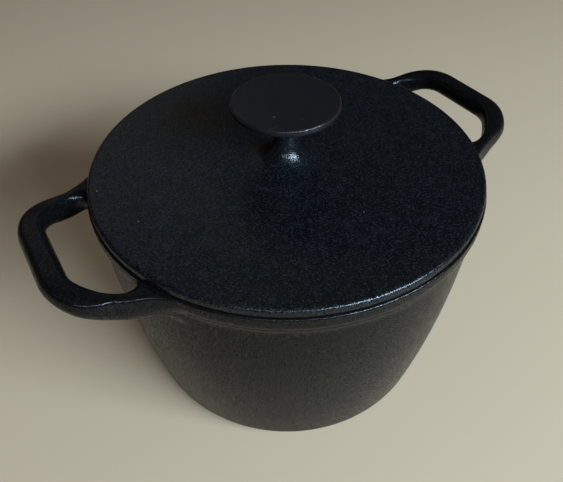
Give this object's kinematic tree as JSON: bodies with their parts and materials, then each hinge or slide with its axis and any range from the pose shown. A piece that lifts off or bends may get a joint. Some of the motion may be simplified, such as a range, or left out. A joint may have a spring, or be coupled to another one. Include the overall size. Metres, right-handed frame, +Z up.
{
  "type": "lidded cast-iron saucepan with loop handles",
  "caption": "Deep round cast-iron saucepan with a loop handle on each side and a flat lid that drops into its mouth and lifts by a disc knob.",
  "frame": {"origin": "on the ground at the middle of the flat base", "axes": "+Z up along the pan's axis, X through the middles of the two handles"},
  "size_m": [0.2774, 0.212, 0.1745],
  "materials": {
    "pan_iron": "satin black seasoned casting with a fine orange-peel grain, browner where it has been heated",
    "lid_iron": "satin black seasoned casting with a fine orange-peel grain, a few pale specks and faint crossed scratches"
  },
  "bodies": {
    "root": {"pan": "pan_iron", "lid": "lid_iron"}
  },
  "joints": []
}
